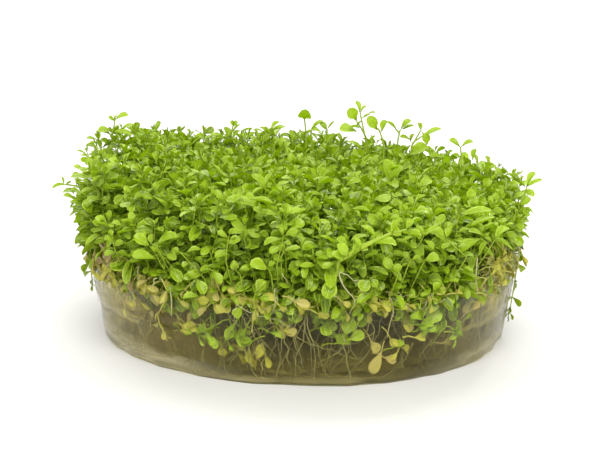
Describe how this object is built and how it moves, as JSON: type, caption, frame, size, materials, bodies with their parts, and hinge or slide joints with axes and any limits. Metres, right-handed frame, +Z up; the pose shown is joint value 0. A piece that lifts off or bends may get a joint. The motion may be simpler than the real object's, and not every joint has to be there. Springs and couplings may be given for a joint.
{
  "type": "dwarf baby tears cushion on culture gel",
  "caption": "Low cushion of small round-leaved aquarium plants, rooted in a clear disc of culture gel with a flat base, as lifted out of its growing cup.",
  "frame": {"origin": "centre of the gel disc's flat base", "axes": "+Z up out of the gel through the leaves, -Y towards the picture's viewer, +X to the viewer's right"},
  "size_m": [0.0979, 0.0948, 0.0439],
  "materials": {
    "culture_gel": "clear, slightly cloudy olive gel with a wet shine",
    "leaf": "fresh green leaf, waxy and wet",
    "young_leaf": "pale yellow-green young leaf, waxy and wet",
    "root": "whitish root",
    "old_root": "dark olive-brown felt of old roots and stems, soaked with gel"
  },
  "bodies": {
    "root": {"front_long_shoot": "young_leaf", "gel_medium": "culture_gel", "plant_centre": "leaf", "plant_inner_1": "leaf", "plant_inner_2": "leaf", "plant_inner_3": "leaf", "plant_inner_4": "leaf", "plant_inner_5": "leaf", "plant_outer_1": "leaf", "plant_outer_10": "leaf", "plant_outer_2": "leaf", "plant_outer_3": "leaf", "plant_outer_4": "leaf", "plant_outer_5": "leaf", "plant_outer_6": "leaf", "plant_outer_7": "leaf", "plant_outer_8": "leaf", "plant_outer_9": "leaf", "root_mat": "old_root", "root_tuft_1": "root", "root_tuft_2": "root", "root_tuft_3": "root", "root_tuft_4": "root", "root_tuft_5": "root", "root_tuft_6": "root", "root_tuft_7": "root", "root_tuft_8": "root", "root_tuft_9": "root", "root_tuft_centre": "root", "sprig_back_left": "young_leaf", "sprig_back_middle": "young_leaf", "sprig_left_back": "young_leaf", "sprig_left_low": "young_leaf", "sprig_right_back": "young_leaf", "sprig_right_edge": "young_leaf", "sprig_right_fork": "young_leaf", "sprig_right_lean": "young_leaf", "sprig_round_leaf": "young_leaf", "sprig_round_pair": "young_leaf", "sprig_tallest": "young_leaf", "trailing_shoot_front": "young_leaf", "trailing_shoot_left": "young_leaf", "trailing_shoot_right": "young_leaf"}
  },
  "joints": []
}
